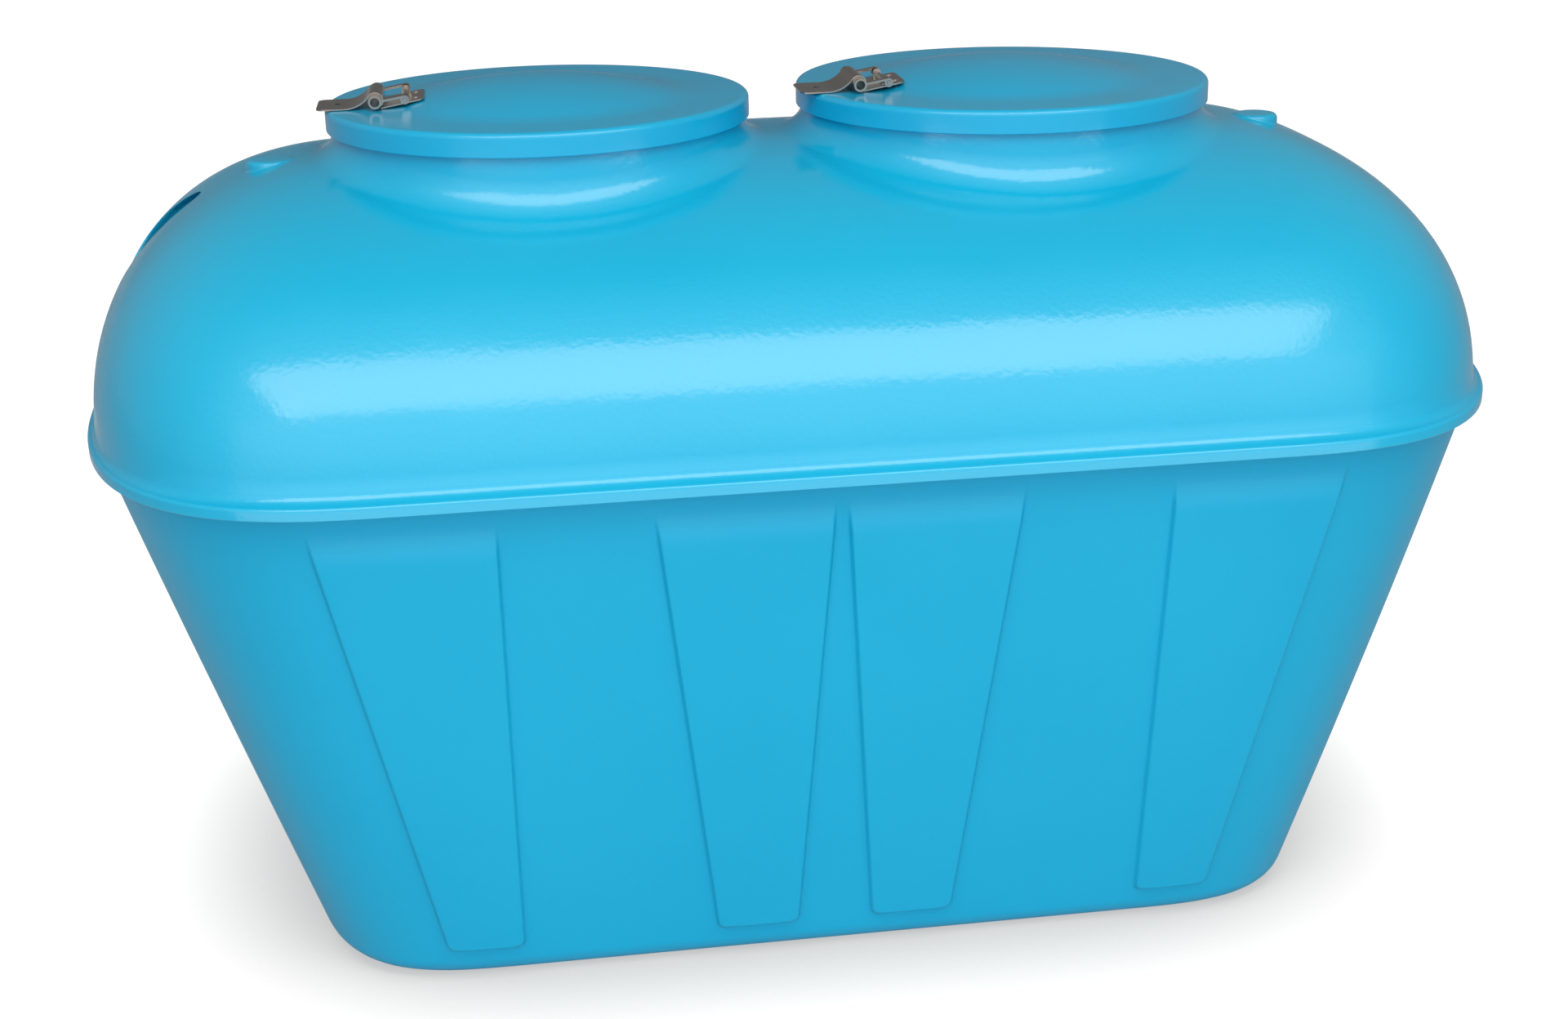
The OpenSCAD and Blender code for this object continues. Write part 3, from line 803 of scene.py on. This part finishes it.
def open_circles():
    """Circles to leave open: the necks with their sweep, then the bosses."""
    sweep = [NECK_R + NECK_BLEND * (1 - math.cos(t)) for t in turns_from(0, 91, 9)]
    necks = [(side * NECK_X, 0, sweep + [sweep[-1] + 8], NECK_COLUMNS) for side in (-1, 1)]
    bosses = [(BOSS_X[side], 0, [BOSS_FOOT, BOSS_R + 9], BOSS_COLUMNS) for side in (-1, 1)]
    return necks + bosses


def build_dome():
    shell = Shell()
    steep, flat = steep_and_flat(OUTSIDE_PITCH)
    outer = dome_top(shell, flat, 0, open_circles(), dome_outside, 5)
    rim = shell.strip(outer[0], [dome_ring(k, 0) for k in reversed(steep)])
    rim = shell.strip(rim, fillet_rings())
    rim = shell.strip(rim, lip_rings())
    steep, flat = steep_and_flat(INSIDE_PITCH)
    bores = [(side * NECK_X, 0, [BORE_R, BORE_R + 10], NECK_COLUMNS) for side in (-1, 1)]
    inner = dome_top(shell, flat, LAMINATE, bores, dome_inside, 8)
    rim = shell.strip(rim, [dome_ring(k, LAMINATE) for k in steep])
    shell.join(rim, inner[0])
    for hole, bore, side in zip(outer[1:3], inner[1:3], (-1, 1)):
        shell.join(shell.strip(hole, neck_rings(side)), bore)
    for hole, side in zip(outer[3:5], (-1, 1)):
        shell.faces.append(tuple(shell.strip(hole, boss_rings(side))))
    return shell


shell = build_dome()
dome = make_piece("dome_moulding", shell.points, shell.faces, "tank", ["dome"])
dome.data.materials.append(dome_gelcoat)

# %% [markdown]
# ## The pipe seats
# A level round seat is sunk into each end of the dome, where a drain pipe goes in. A
# cutter shaped like the pocket takes it out of the dome, and the pocket's own wall and
# back are put in its place, which is how the insert sits in the mould.

# %% Pipe seats
SEAT_X = 800
SEAT_Z = 972
SEAT_R = 85
BEYOND_THE_END = 1100
SEAT_COLUMNS = 96


def seat_circle(x, radius):
    turns = [2 * math.pi * i / SEAT_COLUMNS for i in range(SEAT_COLUMNS)]
    return [(x, radius * math.cos(t), SEAT_Z + radius * math.sin(t)) for t in turns]


def plain_object(name, points, faces):
    mesh = bpy.data.meshes.new(name)
    mesh.from_pydata([[c * MM for c in p] for p in points], [], faces)
    work = bmesh.new()
    work.from_mesh(mesh)
    bmesh.ops.recalc_face_normals(work, faces=work.faces)
    work.to_mesh(mesh)
    work.free()
    thing = bpy.data.objects.new(name, mesh)
    bpy.context.scene.collection.objects.link(thing)
    return thing


def cut_out(piece, cutter):
    """Takes the cutter's shape out of the piece, and removes the cutter."""
    cut = piece.modifiers.new("cut", "BOOLEAN")
    cut.operation = "DIFFERENCE"
    cut.object = cutter
    cut.solver = "EXACT"
    graph = bpy.context.evaluated_depsgraph_get()
    made = bpy.data.meshes.new_from_object(piece.evaluated_get(graph))
    piece.modifiers.clear()
    old = piece.data
    piece.data = made
    bpy.data.meshes.remove(old)
    bpy.data.objects.remove(cutter)


for side in (-1, 1):
    cutter = plain_object(
        "cutter",
        *skin([seat_circle(side * SEAT_X, SEAT_R), seat_circle(side * BEYOND_THE_END, SEAT_R)]),
    )
    cut_out(dome, cutter)
dome.data.shade_smooth()
dome.data.set_sharp_from_angle(angle=CREASE)
print("dome after the pipe seats:", len(dome.data.polygons), "faces")


# %% Pockets
def seat_depth(y, z):
    """Length of the dome at a point of its end, found by halving."""
    inner, outer = float(FOOT_S), float(FOOT_A)
    for _ in range(40):
        x = (inner + outer) / 2
        if dome_over(x, y, FOOT_A, FOOT_B) > z:
            inner = x
        else:
            outer = x
    return inner


def seat_pocket(side):
    """Wall and back of a pocket, closed, ending in the dome's laminate."""
    mouth, outer_mouth = [
        [(side * (seat_depth(y, z) - LAMINATE / 2), y, z) for _, y, z in seat_circle(0, radius)]
        for radius in (SEAT_R, SEAT_R + LAMINATE)
    ]
    inner = side * SEAT_X
    rings = [
        seat_circle(inner, SEAT_R - 30),
        seat_circle(inner, SEAT_R - 3),
        seat_circle(inner + side * 0.9, SEAT_R - 0.9),
        seat_circle(inner + side * 3, SEAT_R),
        mouth,
        outer_mouth,
        seat_circle(inner - side * LAMINATE, SEAT_R + LAMINATE),
    ]
    return skin(rings)


for side, word in ((-1, "left"), (1, "right")):
    pocket = make_piece("pipe_seat_" + word, *seat_pocket(side), "tank")
    pocket.data.materials.append(dome_gelcoat)

# %% [markdown]
# ## The lids
# A lid is turned about its centre: a skirt that hangs round the neck, a flat ring and
# a shallow bell-shaped crown. Turning a profile is the natural way to make it.

# %% Lids
GASKET_T = 6
LID_T = 5
LID_H = NECK_TOP + GASKET_T + LID_T
LID_R = 307
LID_COLUMNS = 192
LID_RADIUS = 8
SKIRT_H = 33
CROWN_R = 240
TURN_R = 190
CROWN_RISE = 27
FULLNESS = CROWN_RISE / (TURN_R**2 + TURN_R * (CROWN_R - TURN_R))
HOLLOWNESS = FULLNESS * TURN_R / (CROWN_R - TURN_R)


def crown(r):
    if r >= CROWN_R:
        return 0.0
    return HOLLOWNESS * (CROWN_R - r) ** 2 if r > TURN_R else CROWN_RISE - FULLNESS * r * r


def edge_arc(radius, turns):
    """Points round the lid's edge, which share one centre inside and outside."""
    return [
        (LID_R - LID_RADIUS + radius * math.cos(t), LID_H - LID_RADIUS + radius * math.sin(t))
        for t in turns
    ]


def lid_profile():
    """The lid's section as (radius, height): crown, edge, skirt and back inside."""
    radii = [CROWN_R * f for f in steps(40)][1:] + [252, 265, 278, 290]
    turns = turns_from(90, -1, -10)
    low = LID_H - SKIRT_H
    outside = [(r, LID_H + crown(r)) for r in radii]
    outside += edge_arc(LID_RADIUS, turns)
    edge = [(LID_R, low + 1), (LID_R - 1, low), (LID_R - LID_T + 1, low), (LID_R - LID_T, low + 1)]
    inside = edge_arc(LID_RADIUS - LID_T, reversed(turns))
    inside += [(r, LID_H - LID_T + crown(r)) for r in reversed(radii[::2])]
    return outside + edge + inside


def turned(profile, x, y, count):
    """Closed piece turned about a vertical axis, from a profile of (radius, height)."""
    rings = [[(px, py, z) for px, py in circle(x, y, r, count)] for r, z in profile]
    return skin(rings)


for side, word in ((-1, "left"), (1, "right")):
    lid = make_piece(
        "lid_cover_" + word,
        *turned(lid_profile(), side * NECK_X, 0, LID_COLUMNS),
        f"lid_{word}_body",
        ["lid_" + word],
    )
    lid.data.materials.append(lid_gelcoat)

# %% [markdown]
# ## Pieces that keep their solids
# The gaskets, the paste and the latches already have their shape in the solids, so
# they only get their finish, and the latches a small bevel on their edges.

# %% Finishes on the solids
DEBURR = 0.5
FINISH = {"gasket": moulded_rubber, "bond_seal": bonding_paste, "latch": polished_stainless}
for name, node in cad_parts.items():
    for start, material in FINISH.items():
        if name.startswith(start):
            node.data.materials.clear()
            node.data.materials.append(material)
            if start == "latch":
                # Deburred edges, which catch the light as a bright line
                edge = node.modifiers.new("deburred", "BEVEL")
                edge.width, edge.segments = DEBURR * MM, 2
                edge.limit_method, edge.angle_limit = "ANGLE", CREASE
print("finished", sum(any(n.startswith(s) for s in FINISH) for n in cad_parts), "solids")

# %% [markdown]
# ## Floor and light
# The floor is a white paper sweep. Lit by lamps alone it would come out grey, and more
# light would bleach the tank. So what the eye sees of it is made white by a little glow
# of its own. The glow is weaker where the tank hides the room, which paints a shadow round
# the tank, and a faint lit layer under it keeps the lamps' real shadow.

# %% Share of the white background that a ray is shown
# The eye gets all of it. Metal and glossy gelcoat get a little: with all of it, the
# dome's rim would mirror the background and turn white.
MIRRORED_SHARE = 0.04


def background_share(tree):
    """1 for what the eye sees, less for what a shiny surface mirrors."""
    rays = add(tree, "ShaderNodeLightPath")
    mirrored = add(
        tree,
        "ShaderNodeMath",
        {"operation": "MAXIMUM"},
        {0: rays.outputs["Is Glossy Ray"], 1: rays.outputs["Is Transmission Ray"]},
    )
    share = add(
        tree, "ShaderNodeMath", {"operation": "MULTIPLY", 1: MIRRORED_SHARE}, {0: mirrored.outputs[0]}
    )
    return add(
        tree,
        "ShaderNodeMath",
        {"operation": "MAXIMUM"},
        {0: rays.outputs["Is Camera Ray"], 1: share.outputs[0]},
    ).outputs[0]


# %% White paper
def white_paper():
    material, tree = new_material("white_paper")
    place = add(tree, "ShaderNodeTexCoord").outputs["Object"]
    # Fibre clumps 3 mm across are 300 to the metre
    fibre = add(tree, "ShaderNodeTexNoise", {"Scale": 300.0, "Detail": 2.0}, {"Vector": place})
    bump = add(
        tree, "ShaderNodeBump", {"Strength": 0.1, "Distance": 0.0002}, {"Height": fibre.outputs["Fac"]}
    )
    rough = {"Normal": bump.outputs["Normal"]}
    paper = add(tree, "ShaderNodeBsdfDiffuse", {"Color": to_linear("#bcbcbc")}, rough)
    faint = add(tree, "ShaderNodeBsdfDiffuse", {"Color": to_linear("#7c7976")}, rough)
    # How much of the room a point of the floor sees past the tank. It dims the glow below, which paints
    # the floor's shadow near the tank.
    open_sky = add(tree, "ShaderNodeAmbientOcclusion", {"samples": 16, "Distance": 0.35})
    shade = add(
        tree,
        "ShaderNodeMapRange",
        {"From Min": 0.4, "From Max": 0.88, "To Min": 0.5, "To Max": 1.0},
        {"Value": open_sky.outputs["AO"]},
    )
    # The floor's own glow, darker where the tank hides the room: a painted shadow
    glow = add(tree, "ShaderNodeEmission", {}, {"Strength": shade.outputs["Result"]})
    # The faint lit layer adds the lamps' real shadow under the painted one
    lifted = add(tree, "ShaderNodeAddShader", {}, {0: faint.outputs[0], 1: glow.outputs[0]})
    seen = add(
        tree,
        "ShaderNodeMixShader",
        {},
        {0: background_share(tree), 1: paper.outputs[0], 2: lifted.outputs[0]},
    )
    add(tree, "ShaderNodeOutputMaterial", {}, {"Surface": seen.outputs[0]})
    return material


# %% Floor
FLOOR_REACH = 30
corners = [(x * FLOOR_REACH, y * FLOOR_REACH, 0) for x, y in ((-1, -1), (1, -1), (1, 1), (-1, 1))]
mesh = bpy.data.meshes.new("floor")
mesh.from_pydata(corners, [], [(0, 1, 2, 3)])
mesh.materials.append(white_paper())
floor = bpy.data.objects.new("floor", mesh)
bpy.context.scene.collection.objects.link(floor)
print("floor", 2 * FLOOR_REACH, "m wide")

# %% [markdown]
# ### The room
# The room glows softly and unevenly, as a white studio does: most from in front and
# above, where its lamps light the walls. Each side's share is one broad lobe, which is
# strongest in its own direction and fades to nothing at its rim.

# %% Room
ROOM_LEVEL = 0.04
# Direction, strength, and cosine of the angle at which the lobe ends
LOBES = (
    ((0.0, -1.0, 0.0), 0.4, 0.0),
    ((-1.0, 0.0, 0.0), 0.3, 0.0),
    ((1.0, 0.0, 0.0), 0.2, 0.0),
    ((0.0, 1.0, 0.0), 0.06, 0.0),
    ((0.0, 0.0, 1.0), 0.1, 0.0),
    ((0.0, -0.65, 0.76), 0.72, 0.5),
)


def lobe(tree, ray, direction, strength, rim):
    """A broad soft glow of the room towards one side."""
    along = add(
        tree, "ShaderNodeVectorMath", {"operation": "DOT_PRODUCT", 1: direction}, {0: ray}
    )
    return add(
        tree,
        "ShaderNodeMapRange",
        {"interpolation_type": "SMOOTHSTEP", "From Min": rim, "To Max": strength},
        {"Value": along.outputs["Value"]},
    ).outputs["Result"]


def light_room():
    world = bpy.data.worlds.new("studio")
    world.use_nodes = True
    tree = world.node_tree
    tree.nodes.clear()
    ray = add(tree, "ShaderNodeTexCoord").outputs["Generated"]
    first, *others = [lobe(tree, ray, *settings) for settings in LOBES]
    level = add(tree, "ShaderNodeMath", {"operation": "ADD", 0: ROOM_LEVEL}, {1: first})
    for glow in others:
        level = add(tree, "ShaderNodeMath", {"operation": "ADD"}, {0: level.outputs[0], 1: glow})
    white = to_linear("#ffffff")
    room = add(tree, "ShaderNodeBackground", {"Color": white}, {"Strength": level.outputs[0]})
    backdrop = add(tree, "ShaderNodeBackground", {"Color": white, "Strength": 1.0})
    chosen = add(
        tree,
        "ShaderNodeMixShader",
        {},
        {0: background_share(tree), 1: room.outputs[0], 2: backdrop.outputs[0]},
    )
    add(tree, "ShaderNodeOutputWorld", {}, {"Surface": chosen.outputs[0]})
    return world


bpy.context.scene.world = light_room()
print("room with", len(LOBES), "lobes")

# %% [markdown]
# ### The lamps
# One long softbox hangs in front of and above the tank, and gloss shows it as the
# bright band along the dome's shoulder. Its bare lamp head is the paler spot at the
# band's left end. A low panel in front lights the tub under the flange, and a weak one
# above it lights the dome's side. A panel behind lights the back, and isn't mirrored,
# which keeps its streak off the dome's rim.

# %% Softboxes
def softbox(name, centre, target, size, radiance, colour="#ffffff"):
    """An area light of a given brightness, which faces its target."""
    data = bpy.data.lights.new(name, "AREA")
    data.shape = "RECTANGLE"
    data.size, data.size_y = size
    data.energy = radiance * math.pi * size[0] * size[1]
    data.color = to_linear(colour)[:3]
    light = bpy.data.objects.new(name, data)
    bpy.context.scene.collection.objects.link(light)
    light.location = centre
    light.rotation_euler = (Vector(target) - Vector(centre)).to_track_quat("-Z", "Y").to_euler()
    print(name, "radiance", radiance)
    return light


WARM = "#fffded"
softbox("ceiling_softbox", (-0.05, -1.98, 3.0), (-0.05, -1.98, 0.0), (3.9, 1.65), 2.75, WARM)
softbox("lamp_head", (-1.72, -2.45, 2.98), (-1.72, -2.45, 0.0), (0.17, 0.9), 0.9)
softbox("low_panel", (-0.1, -1.9, 0.45), (-0.1, 0.0, 0.45), (4.2, 0.6), 1.25)
softbox("front_panel", (-0.1, -1.95, 1.45), (-0.1, 0.0, 1.1), (4.6, 1.3), 0.3)
back_panel = softbox("back_panel", (0.0, 2.6, 1.1), (0.0, 0.0, 0.9), (4.2, 2.0), 1.1)
back_panel.visible_glossy = False
bpy.context.scene.view_settings.view_transform = "Standard"
